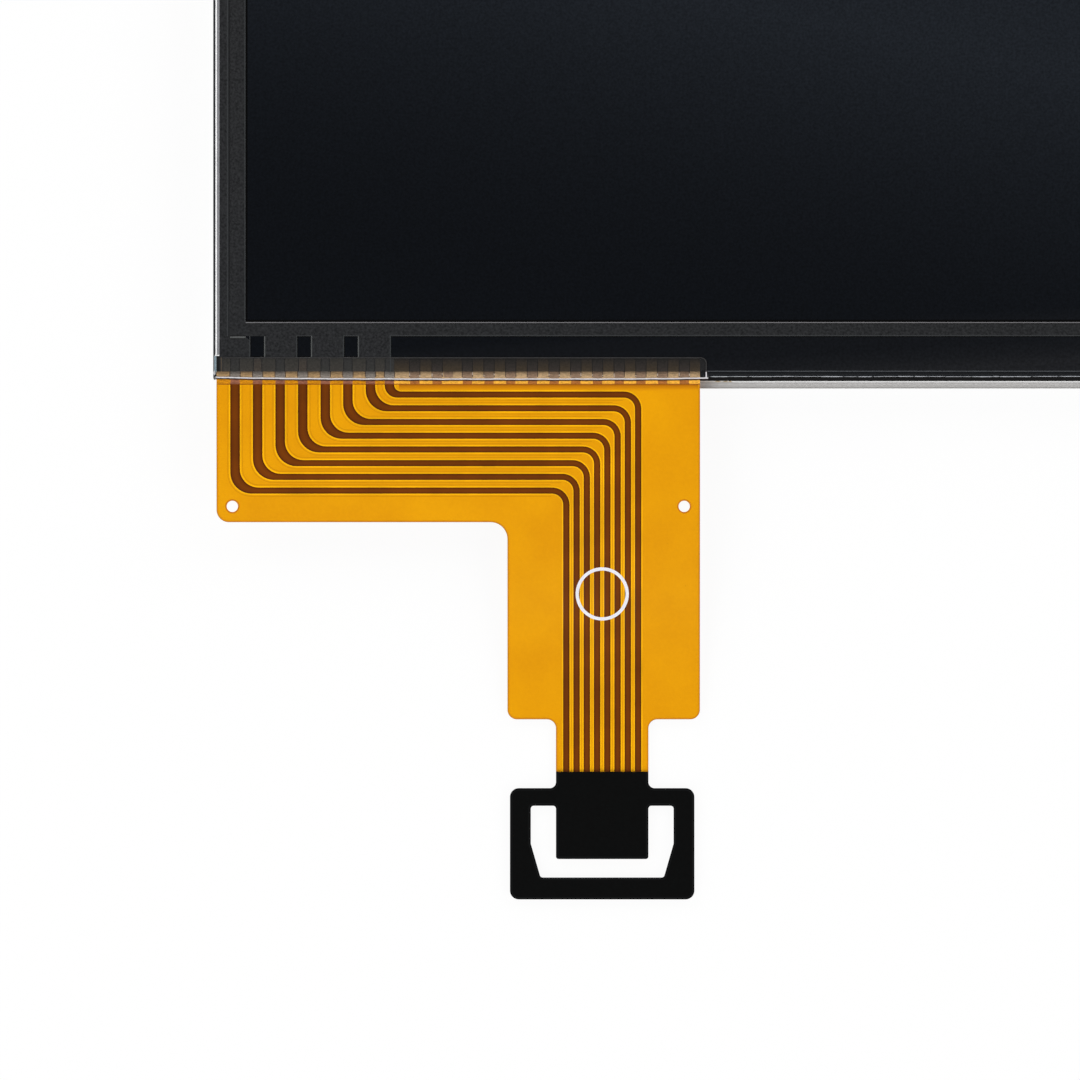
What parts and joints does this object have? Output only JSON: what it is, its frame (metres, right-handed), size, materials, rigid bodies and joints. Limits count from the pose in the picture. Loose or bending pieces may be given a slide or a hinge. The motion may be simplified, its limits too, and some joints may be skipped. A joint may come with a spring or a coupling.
{
  "type": "lcd touchscreen",
  "caption": "Flat LCD module with a resistive touch sensor on its face and a flexible printed tail that ends in a contact tongue.",
  "frame": {"origin": "middle of the display module's flat back, which it rests on", "axes": "+X along the display's long side, +Y up its face, away from the tail, +Z out of its front"},
  "size_m": [0.165, 0.1498, 0.0053],
  "materials": {
    "zinc_steel": "zinc-coated steel sheet, fine rolled texture",
    "pan_steel": "zinc-coated steel sheet, pressed",
    "white_frame": "moulded white polycarbonate",
    "reflector_film": "silvered polyester sheet",
    "clear_guide": "clear moulded acrylic",
    "diffuser_film": "matte polyester sheet",
    "prism_film": "finely grooved polyester sheet",
    "lamp_strip": "white solder mask on a thin board",
    "lamp_body": "white package with yellow phosphor",
    "polariser_film": "near-black polarising film",
    "cell_glass": "thin display glass",
    "seal_resin": "cured sealing resin",
    "liquid_crystal": "sealed layer of liquid crystal",
    "chip_silicon": "polished silicon chips",
    "board_laminate": "green solder mask on glass-epoxy board",
    "socket_plastic": "moulded ivory nylon",
    "part_ceramic": "small ceramic parts with tinned ends",
    "flex_film": "amber polyimide film",
    "foam_tape": "black foam tape",
    "sensor_glass": "soda-lime glass with ground, chipped edges",
    "spacer_tape": "double-sided adhesive sheet",
    "edge_sealant": "cured clear silicone bead",
    "silver_ink": "printed silver ink",
    "smoked_film": "smoked polyester film, glossy hard coat",
    "border_ink": "dark grey printed ink, fine grain",
    "clear_tape": "clear polyester tape",
    "bond_film": "conductive bonding film",
    "polyimide_base": "amber polyimide film",
    "copper": "dull etched copper",
    "polyimide_cover": "amber polyimide coverlay, glossy",
    "black_stiffener": "black stiffener sheet",
    "white_ink": "white printed ink"
  },
  "bodies": {
    "root": {"front_bezel": "zinc_steel", "rear_pan": "pan_steel", "mould_frame": "white_frame", "reflector_sheet": "reflector_film", "light_guide": "clear_guide", "diffuser_sheet": "diffuser_film", "lower_prism_sheet": "prism_film", "upper_prism_sheet": "prism_film", "led_strip_board": "lamp_strip", "backlight_leds": "lamp_body", "rear_polariser": "polariser_film", "front_polariser": "polariser_film", "tft_glass": "cell_glass", "colour_filter_glass": "cell_glass", "cell_seal": "seal_resin", "liquid_crystal": "liquid_crystal", "driver_chips": "chip_silicon", "display_flex": "flex_film", "control_board": "board_laminate", "display_socket": "socket_plastic", "backlight_socket": "socket_plastic", "board_parts": "part_ceramic", "panel_gasket": "foam_tape", "sensor_glass": "sensor_glass", "spacer_adhesive": "spacer_tape", "edge_sealant": "edge_sealant", "film_busbars": "silver_ink", "glass_busbars": "silver_ink", "sensor_film": "smoked_film", "border_mask": "border_ink", "bonding_cover_tape": "clear_tape", "tail_bond": "bond_film", "tail_base_film": "polyimide_base", "tail_dummy_pads": "copper", "tail_coverlay": "polyimide_cover", "tail_index_ring": "white_ink", "tail_stiffener": "black_stiffener", "tail_trace_1": "copper", "tail_trace_2": "copper", "tail_trace_3": "copper", "tail_trace_4": "copper", "tail_trace_5": "copper", "tail_trace_6": "copper", "tail_trace_7": "copper", "tail_trace_8": "copper"}
  },
  "joints": []
}
